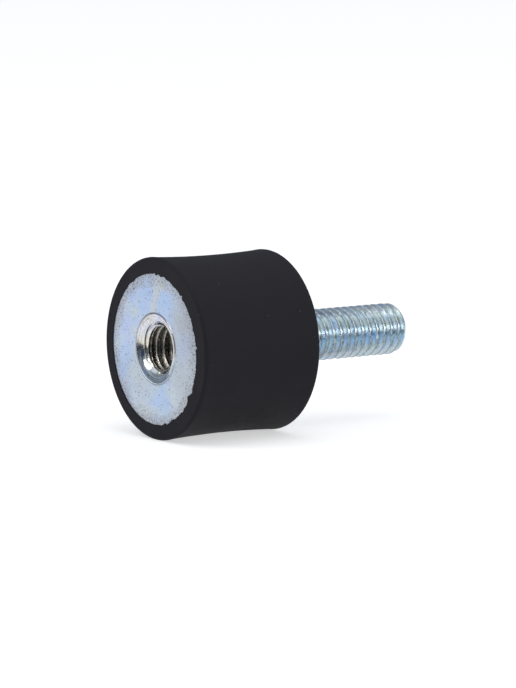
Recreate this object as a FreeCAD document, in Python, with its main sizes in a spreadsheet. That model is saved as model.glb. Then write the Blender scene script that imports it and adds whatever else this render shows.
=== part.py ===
import FreeCAD, Part

# Bobbin vibration mount: a waisted rubber barrel moulded between two steel discs.
# One disc carries a blind tapped bush, swaged into it. The other carries a threaded stud.
#
# Row frame, in millimetres: +X runs along the axis, out through the stud, and +Z is up.
# The origin is the middle of the rubber's end face at the stud's side, so the rubber
# lies from -body_height to 0 and the stud reaches to stud_length.

import os
import re

import Sketcher

SIZES = {
    # thread of both ends
    "thread_diameter": 6.0,
    "thread_pitch": 1.0,
    # rubber barrel
    "body_diameter": 20.0,
    "body_height": 15.0,
    "waist_depth": 0.25,
    "rim_chamfer": 0.25,
    # steel discs, and the rubber lips that lap over their coined margins
    "plate_thickness": 2.0,
    "edge_cover": 0.6,
    "lip_width": 1.0,
    "lip_thickness": 0.1,
    "bevel_depth": 0.4,
    # tapped bush, from its mouth outwards
    "bore_depth": 5.5,
    "bush_floor": 0.6,
    "drill_point_angle": 118.0,
    "mouth_depth": 0.55,
    "mouth_width": 0.85,
    "mouth_bulge": 0.13,
    "mouth_land": 0.1,
    "flare_depth": 0.6,
    "flare_width": 0.4,
    "bush_shoulder": 1.35,
    "bush_chamfer": 0.6,
    # threaded stud
    "stud_allowance": 0.2,
    "stud_length": 17.6,
    "tip_length": 1.1,
    "tip_drop": 1.05,
    "tip_bulge": 0.16,
    "neck_shoulder": 0.65,
    "head_overhang": 1.4,
    "head_thickness": 2.2,
    "head_chamfer": 0.4,
}

# Places along the axis that pieces share, as expressions in the names above.
FEMALE_END = "-body_height"
FEMALE_STEEL = "(lip_thickness - body_height)"
FEMALE_STEEL_BACK = f"({FEMALE_STEEL} + plate_thickness)"
BORE_END = f"({FEMALE_STEEL} + bore_depth)"
STUD_STEEL = "(-lip_thickness)"
STUD_STEEL_BACK = f"({STUD_STEEL} - plate_thickness)"
HEAD_END = f"({STUD_STEEL_BACK} - head_thickness)"
AXIS = "0"

# Radii.
RUBBER_RADIUS = "(body_diameter / 2)"
PLATE_RADIUS = f"({RUBBER_RADIUS} - edge_cover)"
BARE_RADIUS = f"({PLATE_RADIUS} - lip_width)"
BORE_RADIUS = "((thread_diameter - thread_pitch) / 2)"
MOUTH_RADIUS = "(thread_diameter / 2 + mouth_width)"
FLARE_RADIUS = f"({MOUTH_RADIUS} + mouth_land)"
BUSH_NECK_RADIUS = f"({FLARE_RADIUS} - flare_width)"
BUSH_RADIUS = f"({BUSH_NECK_RADIUS} + bush_shoulder)"
STUD_RADIUS = "((thread_diameter - stud_allowance) / 2)"
STUD_NECK_RADIUS = f"({STUD_RADIUS} + neck_shoulder)"
HEAD_RADIUS = f"({STUD_NECK_RADIUS} + head_overhang)"

# The drill's point leaves a cone below the bore, and the bush keeps a floor behind it.
DRILL_TIP = f"({BORE_END} + {BORE_RADIUS} / tan(drill_point_angle / 2 * 1 deg))"
BUSH_END = f"({DRILL_TIP} + bush_floor)"


def make_sheet(doc):
    """The spreadsheet of driving sizes: one plain number and its alias to a row."""
    sheet = doc.addObject("Spreadsheet::Sheet", "sizes")
    for row, (alias, size) in enumerate(SIZES.items(), start=1):
        sheet.set(f"A{row}", alias.replace("_", " "))
        sheet.set(f"B{row}", str(size))
        sheet.setAlias(f"B{row}", alias)
    doc.recompute()


def bound(text):
    """The expression with the sheet's name before each size in it."""
    return re.sub(r"\b[a-z]+(?:_[a-z]+)+\b", lambda found: "sizes." + found.group(0), text)


def arc_radius(start, end, rise):
    """The radius of an arc between two corners that rises so far over its chord, as an expression."""
    chord_squared = f"((({end[0]}) - ({start[0]})) ^ 2 + (({end[1]}) - ({start[1]})) ^ 2)"
    return f"({chord_squared} / 4 + ({rise}) ^ 2) / (2 * ({rise}))"


def edge_between(start, end, rise):
    """A line, or an arc that rises to the left of the way from start to end, or to the right if negative."""
    if rise == 0:
        return Part.LineSegment(start, end)
    along = (end - start).normalize()
    left = FreeCAD.Vector(-along.y, along.x, 0)
    return Part.Arc(start, (start + end) / 2 + left * rise, end)


def bind(sketch, constraint, label, text):
    """Adds a dimension to the sketch and ties it to the sheet."""
    index = sketch.addConstraint(constraint)
    sketch.renameConstraint(index, label)
    sketch.setExpression(f"Constraints.{label}", bound(text))


def half_section(body, name, corners, arcs):
    """A closed outline above the X axis, in the XZ plane. Each corner is an (along, radius) pair of
    expressions. arcs gives, for the edge after a corner, its rise and the side of the way it lies on."""
    sketch = body.newObject("Sketcher::SketchObject", name)
    plane = next(item for item in body.Origin.OriginFeatures if item.Role == "XZ_Plane")
    sketch.AttachmentSupport = (plane, [""])
    sketch.MapMode = "FlatFace"

    def value(text):
        return float(sketch.evalExpression(bound(text)))

    places = [FreeCAD.Vector(value(along), value(radius), 0) for along, radius in corners]
    followers = [(edge + 1) % len(corners) for edge in range(len(corners))]
    for edge, after in enumerate(followers):
        rise, side = arcs.get(edge, (AXIS, 1))
        sketch.addGeometry(edge_between(places[edge], places[after], side * value(rise)))

    # An arc that is drawn clockwise is stored with its two ends changed over.
    first = [1 if sketch.getPoint(edge, 1).isEqual(place, 1e-6) else 2 for edge, place in enumerate(places)]
    for edge, after in enumerate(followers):
        sketch.addConstraint(Sketcher.Constraint("Coincident", edge, 3 - first[edge], after, first[after]))
    for edge, ((along, radius), place) in enumerate(zip(corners, places)):
        corner = (edge, first[edge])
        if along == AXIS:
            sketch.addConstraint(Sketcher.Constraint("PointOnObject", *corner, -2))
        else:
            bind(sketch, Sketcher.Constraint("DistanceX", -1, 1, *corner, place.x), f"along_{edge}", along)
        if radius == AXIS:
            sketch.addConstraint(Sketcher.Constraint("PointOnObject", *corner, -1))
        else:
            bind(sketch, Sketcher.Constraint("DistanceY", -1, 1, *corner, place.y), f"radius_{edge}", radius)
    for edge, (rise, side) in arcs.items():
        size = arc_radius(corners[edge], corners[followers[edge]], rise)
        bind(sketch, Sketcher.Constraint("Radius", edge, value(size)), f"arc_{edge}", size)
    return sketch


def turn(body, name, corners, arcs=None, kind="PartDesign::Revolution"):
    """A half section turned once round the X axis. As a Groove, it is taken away from the body."""
    sketch = half_section(body, name + "_outline", corners, arcs or {})
    feature = body.newObject(kind, name)
    feature.Profile = sketch
    feature.ReferenceAxis = (sketch, ["H_Axis"])
    feature.Angle = 360.0
    body.Document.recompute()


def new_piece(doc, label):
    body = doc.addObject("PartDesign::Body", label)
    body.Label = label
    return body


def rubber_body(doc):
    """The moulded barrel: waisted flank, eased rims, and at each end a pocket that the steel fills."""
    body = new_piece(doc, "rubber_body")
    turn(
        body,
        "waisted_barrel",
        [
            (FEMALE_END, AXIS),
            (FEMALE_END, f"{RUBBER_RADIUS} - rim_chamfer"),
            (f"{FEMALE_END} + rim_chamfer", RUBBER_RADIUS),
            ("-rim_chamfer", RUBBER_RADIUS),
            (AXIS, f"{RUBBER_RADIUS} - rim_chamfer"),
            (AXIS, AXIS),
        ],
        arcs={2: ("waist_depth", -1)},
    )
    turn(
        body,
        "female_pocket",
        [
            (FEMALE_END, AXIS),
            (FEMALE_END, BARE_RADIUS),
            (FEMALE_STEEL, BARE_RADIUS),
            (f"{FEMALE_STEEL} + bevel_depth", PLATE_RADIUS),
            (FEMALE_STEEL_BACK, PLATE_RADIUS),
            (FEMALE_STEEL_BACK, BUSH_RADIUS),
            (f"{BUSH_END} - bush_chamfer", BUSH_RADIUS),
            (BUSH_END, f"{BUSH_RADIUS} - bush_chamfer"),
            (BUSH_END, AXIS),
        ],
        kind="PartDesign::Groove",
    )
    turn(
        body,
        "stud_pocket",
        [
            (AXIS, AXIS),
            (AXIS, BARE_RADIUS),
            (STUD_STEEL, BARE_RADIUS),
            (f"{STUD_STEEL} - bevel_depth", PLATE_RADIUS),
            (STUD_STEEL_BACK, PLATE_RADIUS),
            (STUD_STEEL_BACK, HEAD_RADIUS),
            (f"{HEAD_END} + head_chamfer", HEAD_RADIUS),
            (HEAD_END, f"{HEAD_RADIUS} - head_chamfer"),
            (HEAD_END, AXIS),
        ],
        kind="PartDesign::Groove",
    )
    return body


def female_plate(doc):
    """The disc at the tapped end. Its rim is coined to a bevel on its outer side, for the rubber's lip,
    and its bore is countersunk for the bush's flared end."""
    body = new_piece(doc, "female_plate")
    turn(
        body,
        "countersunk_disc",
        [
            (FEMALE_STEEL, BARE_RADIUS),
            (f"{FEMALE_STEEL} + bevel_depth", PLATE_RADIUS),
            (FEMALE_STEEL_BACK, PLATE_RADIUS),
            (FEMALE_STEEL_BACK, BUSH_NECK_RADIUS),
            (f"{FEMALE_STEEL} + flare_depth", BUSH_NECK_RADIUS),
            (FEMALE_STEEL, FLARE_RADIUS),
        ],
    )
    return body


def stud_plate(doc):
    """The disc at the stud's end, with the same bevelled rim and a plain bore for the stud's neck."""
    body = new_piece(doc, "stud_plate")
    turn(
        body,
        "bored_disc",
        [
            (STUD_STEEL, BARE_RADIUS),
            (f"{STUD_STEEL} - bevel_depth", PLATE_RADIUS),
            (STUD_STEEL_BACK, PLATE_RADIUS),
            (STUD_STEEL_BACK, STUD_NECK_RADIUS),
            (STUD_STEEL, STUD_NECK_RADIUS),
        ],
    )
    return body


def threaded_bush(doc):
    """The blind bush: a shoulder behind the plate, a neck through it, and an end flared flush with its face.
    Its bore is at the thread's minor diameter, behind the rounded mouth that the flaring punch leaves."""
    body = new_piece(doc, "threaded_bush")
    turn(
        body,
        "flared_bush",
        [
            (FEMALE_STEEL, AXIS),
            (FEMALE_STEEL, FLARE_RADIUS),
            (f"{FEMALE_STEEL} + flare_depth", BUSH_NECK_RADIUS),
            (FEMALE_STEEL_BACK, BUSH_NECK_RADIUS),
            (FEMALE_STEEL_BACK, BUSH_RADIUS),
            (f"{BUSH_END} - bush_chamfer", BUSH_RADIUS),
            (BUSH_END, f"{BUSH_RADIUS} - bush_chamfer"),
            (BUSH_END, AXIS),
        ],
    )
    turn(
        body,
        "tapped_bore",
        [
            (FEMALE_STEEL, AXIS),
            (FEMALE_STEEL, MOUTH_RADIUS),
            (f"{FEMALE_STEEL} + mouth_depth", "thread_diameter / 2"),
            (f"{FEMALE_STEEL} + mouth_depth + thread_pitch / 2", BORE_RADIUS),
            (BORE_END, BORE_RADIUS),
            (DRILL_TIP, AXIS),
        ],
        arcs={1: ("mouth_bulge", -1)},
        kind="PartDesign::Groove",
    )
    return body


def threaded_stud(doc):
    """The stud: a head behind the plate, a neck pressed through it, a shank at the thread's major
    diameter, and a rounded tip."""
    body = new_piece(doc, "threaded_stud")
    turn(
        body,
        "headed_stud",
        [
            (HEAD_END, AXIS),
            (HEAD_END, f"{HEAD_RADIUS} - head_chamfer"),
            (f"{HEAD_END} + head_chamfer", HEAD_RADIUS),
            (STUD_STEEL_BACK, HEAD_RADIUS),
            (STUD_STEEL_BACK, STUD_NECK_RADIUS),
            (STUD_STEEL, STUD_NECK_RADIUS),
            (STUD_STEEL, STUD_RADIUS),
            ("stud_length - tip_length", STUD_RADIUS),
            ("stud_length", f"{STUD_RADIUS} - tip_drop"),
            ("stud_length", AXIS),
        ],
        arcs={7: ("tip_bulge", 1)},
    )
    return body


def check(doc, pieces):
    """Stops if an object did not build, or if a piece is not one valid closed solid."""
    for item in doc.Objects:
        if any(state in ("Invalid", "Error") for state in item.State):
            raise RuntimeError(f"{item.Label} did not build: {item.State}")
    for piece in pieces:
        shape = piece.Shape
        if shape.isNull() or not shape.isValid() or len(shape.Solids) != 1:
            raise RuntimeError(f"{piece.Label} is not one valid solid")


def main():
    doc = FreeCAD.newDocument("bobbin_vibration_mount")
    make_sheet(doc)
    pieces = [
        rubber_body(doc),
        female_plate(doc),
        threaded_bush(doc),
        stud_plate(doc),
        threaded_stud(doc),
    ]
    doc.recompute()
    check(doc, pieces)
    os.makedirs("parts", exist_ok=True)
    for piece in pieces:
        piece.Shape.exportStep(f"parts/{piece.Label}.step")
        print(f"{piece.Label}: {piece.Shape.Volume:.1f} mm3")


main()
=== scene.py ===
"""Bobbin vibration mount: the look of its rubber, its zinc-plated discs, its tapped bush and its stud.

The axis is X, out through the stud. Sizes here are in millimetres, and become metres where a mesh is
written. A turned surface is a grid: its rows run along the profile, and its columns run round the axis.
Colours are linear red, green, blue and alpha.
"""
import math

import bpy
import numpy as np
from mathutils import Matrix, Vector


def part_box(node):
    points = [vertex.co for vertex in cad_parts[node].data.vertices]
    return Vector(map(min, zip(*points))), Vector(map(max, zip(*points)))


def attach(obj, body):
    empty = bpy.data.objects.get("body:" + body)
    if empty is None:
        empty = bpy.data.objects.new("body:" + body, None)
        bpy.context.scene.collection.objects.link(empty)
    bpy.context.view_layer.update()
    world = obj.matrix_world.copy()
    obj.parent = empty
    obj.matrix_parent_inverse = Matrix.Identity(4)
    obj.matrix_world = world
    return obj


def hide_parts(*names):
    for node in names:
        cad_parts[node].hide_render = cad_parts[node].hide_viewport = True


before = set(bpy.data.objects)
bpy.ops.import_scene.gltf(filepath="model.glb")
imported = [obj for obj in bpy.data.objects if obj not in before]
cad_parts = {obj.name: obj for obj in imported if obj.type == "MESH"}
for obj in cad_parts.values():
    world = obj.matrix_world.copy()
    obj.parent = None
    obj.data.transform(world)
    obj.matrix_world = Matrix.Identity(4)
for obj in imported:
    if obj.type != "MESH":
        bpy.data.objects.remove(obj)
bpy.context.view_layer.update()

MM = 0.001


def extent(node):
    """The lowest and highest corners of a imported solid, in millimetres."""
    low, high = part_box(node)
    return np.array(low) / MM, np.array(high) / MM


# Places along the axis and radii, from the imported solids.
FEMALE_END, STUD_END = extent("rubber_body")[0][0], extent("rubber_body")[1][0]
BODY_RADIUS = extent("rubber_body")[1][2]
FEMALE_STEEL, FEMALE_STEEL_BACK = extent("female_plate")[0][0], extent("female_plate")[1][0]
STUD_STEEL_BACK, STUD_STEEL = extent("stud_plate")[0][0], extent("stud_plate")[1][0]
PLATE_RADIUS = extent("female_plate")[1][2]
BUSH_END, BUSH_RADIUS = extent("threaded_bush")[1][0], extent("threaded_bush")[1][2]
HEAD_END, TIP_END = extent("threaded_stud")[0][0], extent("threaded_stud")[1][0]
HEAD_RADIUS = extent("threaded_stud")[1][2]

# The thread of both ends. Rolled, it measures a little under its nominal size. It starts where a crest
# crosses the +Y side, which is measured along X for the stud, and for the bush from the face of the steel,
# before the punch crowded the thread.
THREAD_RADIUS = 3.0
PITCH = 1.0
BORE_RADIUS = THREAD_RADIUS - PITCH / 2
STUD_RADIUS = THREAD_RADIUS - 0.1
STUD_THREAD_START = 0.45
BUSH_THREAD_START = -0.13

# Rubber. The lip at each end laps over the bare steel, and its opening lies a little off the axis.
WAIST_DEPTH = 0.25
RIM_ROUNDING = 0.35
LIP_WIDTH = 1.0
BEVEL_DEPTH = 0.4
BARE_RADIUS = PLATE_RADIUS - LIP_WIDTH
FEMALE_OVERLAP, FEMALE_SHIFT = 0.17, (0.245, -0.085)
STUD_OVERLAP, STUD_SHIFT = 0.06, (0.05, 0.04)

# The lip's rounded top: a share of the way up from the steel, and millimetres outwards from its edge.
LIP_ROUNDING = [(0.35, 0.004), (0.7, 0.018), (0.88, 0.04), (0.97, 0.075), (1.0, 0.12)]

# Where the moulded lip's edge is torn back or laps further over the steel at the tapped end:
# degrees round the axis, millimetres outwards, and degrees wide.
LIP_TEETH = [
    (52.0, 0.08, 1.6), (58.0, -0.10, 2.2), (88.6, 0.14, 1.0), (91.5, -0.08, 1.2), (94.5, 0.12, 1.0),
    (98.0, -0.07, 1.4), (102.5, 0.10, 1.6), (117.0, -0.06, 2.0), (130.2, 0.22, 0.9), (132.6, -0.16, 1.5),
    (144.0, -0.08, 1.2), (151.0, 0.09, 1.0), (159.0, -0.08, 1.5), (166.0, 0.08, 1.2), (173.2, 0.26, 0.8),
    (176.0, -0.06, 1.6), (190.0, 0.07, 1.2), (209.0, 0.16, 1.8), (215.0, -0.36, 2.2), (222.0, 0.08, 1.6),
    (229.0, 0.14, 1.8), (246.0, -0.14, 2.4), (254.0, 0.12, 1.2), (257.0, -0.12, 1.0), (262.0, 0.13, 0.9),
]

# Bush. The funnel and the ledge below it are what the flaring punch left of the bore's first millimetre,
# and the crowding is how it pushed the first threads together.
BORE_DEPTH = 5.5
MOUTH_WIDTH = 0.85
MOUTH_BULGE = 0.13
MOUTH_LAND = 0.1
FLARE_DEPTH = 0.6
FLARE_WIDTH = 0.4
BUSH_CHAMFER = 0.6
DRILL_POINT_ANGLE = math.radians(118)
BEAD_HEIGHT = 0.05
FUNNEL_DEPTH, FUNNEL_RADIUS = 0.45, 2.80
LEDGE_DEPTH, LEDGE_RADIUS = 0.72, 2.58
NOTCH_DEPTH, NOTCH_PLACE, NOTCH_WIDTH = 0.20, 0.50, 0.05
CROWDING, CROWDING_REACH = 13.9, 0.2575
MOUTH_RADIUS = THREAD_RADIUS + MOUTH_WIDTH
FLARE_RADIUS = MOUTH_RADIUS + MOUTH_LAND
BUSH_NECK_RADIUS = FLARE_RADIUS - FLARE_WIDTH
BORE_END = FEMALE_STEEL + BORE_DEPTH

# Stud.
STUD_NECK_RADIUS = STUD_RADIUS + 0.65
HEAD_CHAMFER = 0.4
STUD_THREAD_DEPTH = 0.57
TIP_LENGTH = 1.1
TIP_DROP = 1.05
TIP_BULGE = 0.16
NICKS = 46

# A corner of turned steel is broken by this much.
BROKEN_CORNER = 0.05


# Shapes

def angles(columns):
    """Evenly spaced angles round the axis, from the Y axis towards the Z axis."""
    return np.arange(columns) * 2 * math.pi / columns


def all_round(points, columns):
    """Repeats the points of a profile, each (along, radius), for every column."""
    points = np.asarray(points, float)
    return np.broadcast_to(points[:, None, :], (len(points), columns, 2))


def row(along, radius):
    """One row of a grid, from values that may differ from column to column."""
    along, radius = np.broadcast_arrays(along, radius)
    return np.stack([along, radius], axis=-1)[None]


def rows(along, radius):
    """Rows of a grid, from one place along the axis for each row and a radius for each point."""
    return np.stack([np.broadcast_to(along, radius.shape), radius], axis=-1)


def bulged(start, end, rise, steps):
    """Points from start to end that bulge to the left of the chord: chord plus rise times 4 t (1 - t)."""
    start, end = np.asarray(start, float), np.asarray(end, float)
    chord = end - start
    left = np.array([-chord[1], chord[0]]) / np.hypot(*chord)
    t = np.linspace(0, 1, steps)[:, None]
    return start + chord * t + left * rise * 4 * t * (1 - t)


def eased(corners, steps=5):
    """A path of straight legs whose corners are eased. Each corner is (along, radius, setback), and the path
    leaves a leg one setback before the corner and joins the next one a setback after it, on the curve
    (1 - t)^2 start + 2 t (1 - t) corner + t^2 end. A further point on each leg keeps its flats flat."""
    points = [np.array(corners[0][:2], float)]
    for before, corner, after in zip(corners, corners[1:], corners[2:]):
        here = np.array(corner[:2], float)
        setback = corner[2]
        if not setback:
            points.append(here)
            continue
        back = np.array(before[:2]) - here
        ahead = np.array(after[:2]) - here
        back = back / np.hypot(*back)
        ahead = ahead / np.hypot(*ahead)
        start, end = here + back * setback, here + ahead * setback
        t = np.linspace(0, 1, steps)[:, None]
        curve = (1 - t) ** 2 * start + 2 * t * (1 - t) * here + t ** 2 * end
        points += [start + back * setback * 0.4, *curve, end + ahead * setback * 0.4]
    points.append(np.array(corners[-1][:2], float))
    return np.array(points)


def turned_mesh(name, grid, columns, nodes, masks=None):
    """Turns a grid of (along, radius) about the X axis: a point is (along, radius cos a, radius sin a).
    The first and last rows lie on the axis, and close the piece as single points. Each mask is a value for
    every place in the grid, kept in the mesh for the material. Edges past the sharp angle stay crisp."""
    sharp_angle = math.radians(38)
    turn = angles(columns)
    along, radius = grid[1:-1, :, 0], grid[1:-1, :, 1]
    rings = np.stack([along, radius * np.cos(turn), radius * np.sin(turn)], axis=-1).reshape(-1, 3)
    poles = np.array([[grid[0, 0, 0], 0, 0], [grid[-1, 0, 0], 0, 0]])
    points = np.concatenate([rings, poles]) * MM
    count = len(along)
    here = np.arange(columns)
    beside = (here + 1) % columns
    base = (np.arange(count - 1) * columns)[:, None]
    quads = np.stack([base + here, base + beside, base + columns + beside, base + columns + here], axis=-1)
    first, last = len(rings), len(rings) + 1
    end = (count - 1) * columns
    start_fan = np.stack([np.full(columns, first), beside, here], axis=-1)
    end_fan = np.stack([np.full(columns, last), end + here, end + beside], axis=-1)
    mesh = bpy.data.meshes.new(name)
    faces = quads.reshape(-1, 4).tolist() + start_fan.tolist() + end_fan.tolist()
    mesh.from_pydata(points.tolist(), [], faces)
    for label, mask in (masks or {}).items():
        values = np.concatenate([mask[1:-1].ravel(), mask[[0, -1], 0]])
        mesh.attributes.new(label, "FLOAT", "POINT").data.foreach_set("value", values)
    mesh.update()
    mesh.shade_smooth()
    mesh.set_sharp_from_angle(angle=sharp_angle)
    piece = bpy.data.objects.new(name, mesh)
    bpy.context.scene.collection.objects.link(piece)
    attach(piece, "root")
    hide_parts(*nodes)
    return piece


def waves(rng, along, turn, height, counts, lengths, number=24):
    """Low ripples over a turned surface: the sum of weight cos(count turn + 2 pi along / length + phase),
    times height over the root of their number. Each count is a whole number of waves round the axis, so that
    they meet. Counts, lengths in millimetres and phases are drawn at random between bounds."""
    total = np.zeros(np.broadcast(along, turn).shape)
    for count, length, phase, weight in zip(
        rng.integers(counts[0], counts[1] + 1, number),
        rng.uniform(lengths[0], lengths[1], number) * rng.choice([-1, 1], number),
        rng.uniform(0, 2 * math.pi, number),
        rng.uniform(0.4, 1, number),
    ):
        total = total + weight * np.cos(count * turn + 2 * math.pi * along / length + phase)
    return height * total / math.sqrt(number)


def thread_depth(phase, crest, flank):
    """How deep a thread is at a phase in turns, from 0 on its crest to 1 in its root. The phase's distance
    from the nearest whole turn, less half the crest and over the flank's width, is held between 0 and 1,
    and a little of a smooth step, d^2 (3 - 2 d), is mixed in, which eases the corners."""
    easing = 0.2
    distance = np.abs((phase + 0.5) % 1 - 0.5)
    depth = np.clip((distance - crest / 2) / flank, 0, 1)
    return (1 - easing) * depth + easing * depth ** 2 * (3 - 2 * depth)


def helix_phase(along, turn, start):
    """The phase of a right-hand thread: turns along the axis, less turns round it."""
    return (along - start) / PITCH - turn / (2 * math.pi)


def dents(along, turn, radius, places):
    """Small round dents. Each place is (along, angle, depth, width), and a dent is depth times
    exp(-(distance / width)^2), with the distance measured over the surface."""
    total = np.zeros(np.broadcast(along, turn).shape)
    for at, angle, depth, width in places:
        across = ((turn - angle + math.pi) % (2 * math.pi) - math.pi) * radius
        total = total + depth * np.exp(-((along - at) ** 2 + across ** 2) / width ** 2)
    return total


def lip_edge(rng, turn, opening, shift, teeth):
    """The radius of a lip's torn edge: a round opening moved off the axis, opening + y cos a + z sin a, with
    quick small waves, which are strongest where the lip was torn, and with teeth, each of which is
    height exp(-(angle / width)^2)."""
    torn = 0.45 + 0.55 * (0.5 - 0.5 * np.cos(turn))
    edge = opening + shift[0] * np.cos(turn) + shift[1] * np.sin(turn)
    for height, counts in ((0.035, (30, 75)), (0.045, (90, 200))):
        edge = edge + waves(rng, 0 * turn, turn, height, counts, (1, 2), number=18) * torn
    for degrees, height, width in teeth:
        away = (turn - math.radians(degrees) + math.pi) % (2 * math.pi) - math.pi
        edge = edge + height * np.exp(-(away / math.radians(width)) ** 2)
    return edge


def lip_rows(rng, columns, edge, steel, face):
    """A lip, from the steel beside it to the rubber's rim: a short wall that rises from the steel's bevel,
    foot + (face - foot) rise, a rounded top, and a face with faint ripples that sinks into the rubber by
    ripple times sin(pi share), with the share from 0 to 1 across it. Rows run outwards."""
    turn = angles(columns)
    inward = math.copysign(1, steel - face)
    foot = steel + inward * np.maximum(0, edge - BARE_RADIUS) * BEVEL_DEPTH / LIP_WIDTH
    lip = [row(foot, edge)]
    for rise, out in LIP_ROUNDING:
        lip.append(row(foot + (face - foot) * rise, edge + out))
    outer = BODY_RADIUS - RIM_ROUNDING
    start = edge + LIP_ROUNDING[-1][1]
    for share in (0.08, 0.18, 0.32, 0.5, 0.7, 0.9):
        radius = start + (outer - start) * share
        ripple = waves(rng, radius, turn, height=0.006, counts=(3, 14), lengths=(1.2, 4), number=12)
        sunk = np.clip(0.010 + ripple, 0, 0.03) * math.sin(math.pi * share)
        lip.append(row(face + inward * sunk, radius))
    return np.concatenate(lip)


def rim_points(face, inward):
    """A quarter round from a rubber's end face to its flank: face + r (1 - cos t) along the axis, and the
    body's radius less r (1 - sin t)."""
    turn = np.linspace(0, math.pi / 2, 9)
    along = face + inward * RIM_ROUNDING * (1 - np.cos(turn))
    radius = BODY_RADIUS - RIM_ROUNDING + RIM_ROUNDING * np.sin(turn)
    return np.stack([along, radius], axis=-1)


def rubber_piece():
    """The moulded barrel with the pockets that the steel fills. Its flank is waisted: the radius is the
    body's, less the waist's depth times 4 u (1 - u), with u from 0 to 1 along it, and less faint ripples."""
    columns = 900
    turn = angles(columns)
    rng = np.random.default_rng(seed=11)
    female_edge = lip_edge(rng, turn, BARE_RADIUS - FEMALE_OVERLAP, FEMALE_SHIFT, LIP_TEETH)
    # The lip at the stud's end is torn less, and in other places.
    stud_teeth = [(degrees, height * 0.7, width) for degrees, height, width in LIP_TEETH[::2]]
    stud_edge = lip_edge(rng, turn + 2.1, BARE_RADIUS - STUD_OVERLAP, STUD_SHIFT, stud_teeth)
    pocket = [
        (BUSH_END, 0), (BUSH_END, BUSH_RADIUS - BUSH_CHAMFER), (BUSH_END - BUSH_CHAMFER, BUSH_RADIUS),
        (FEMALE_STEEL_BACK, BUSH_RADIUS), (FEMALE_STEEL_BACK, PLATE_RADIUS),
        (FEMALE_STEEL + BEVEL_DEPTH, PLATE_RADIUS),
    ]
    stud_pocket = [
        (STUD_STEEL - BEVEL_DEPTH, PLATE_RADIUS), (STUD_STEEL_BACK, PLATE_RADIUS),
        (STUD_STEEL_BACK, HEAD_RADIUS), (HEAD_END + HEAD_CHAMFER, HEAD_RADIUS),
        (HEAD_END, HEAD_RADIUS - HEAD_CHAMFER), (HEAD_END, 0),
    ]
    start, end = FEMALE_END + RIM_ROUNDING, STUD_END - RIM_ROUNDING
    flank = []
    for u in np.linspace(0, 1, 34)[1:-1]:
        along = start + (end - start) * u
        whole = (along - FEMALE_END) / (STUD_END - FEMALE_END)
        ripple = waves(rng, along, turn, height=0.006, counts=(2, 9), lengths=(4, 15), number=10)
        sunk = np.clip(0.006 + ripple, 0, 0.02) * math.sin(math.pi * u)
        flank.append(row(along, BODY_RADIUS - WAIST_DEPTH * 4 * whole * (1 - whole) - sunk))
    grid = np.concatenate([
        all_round(pocket, columns),
        lip_rows(rng, columns, female_edge, FEMALE_STEEL, FEMALE_END),
        all_round(rim_points(FEMALE_END, 1), columns),
        *flank,
        all_round(rim_points(STUD_END, -1)[::-1], columns),
        lip_rows(rng, columns, stud_edge, STUD_STEEL, STUD_END)[::-1],
        all_round(stud_pocket, columns),
    ])
    return turned_mesh("moulded_rubber_body", grid, columns, ["rubber_body"])


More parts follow.
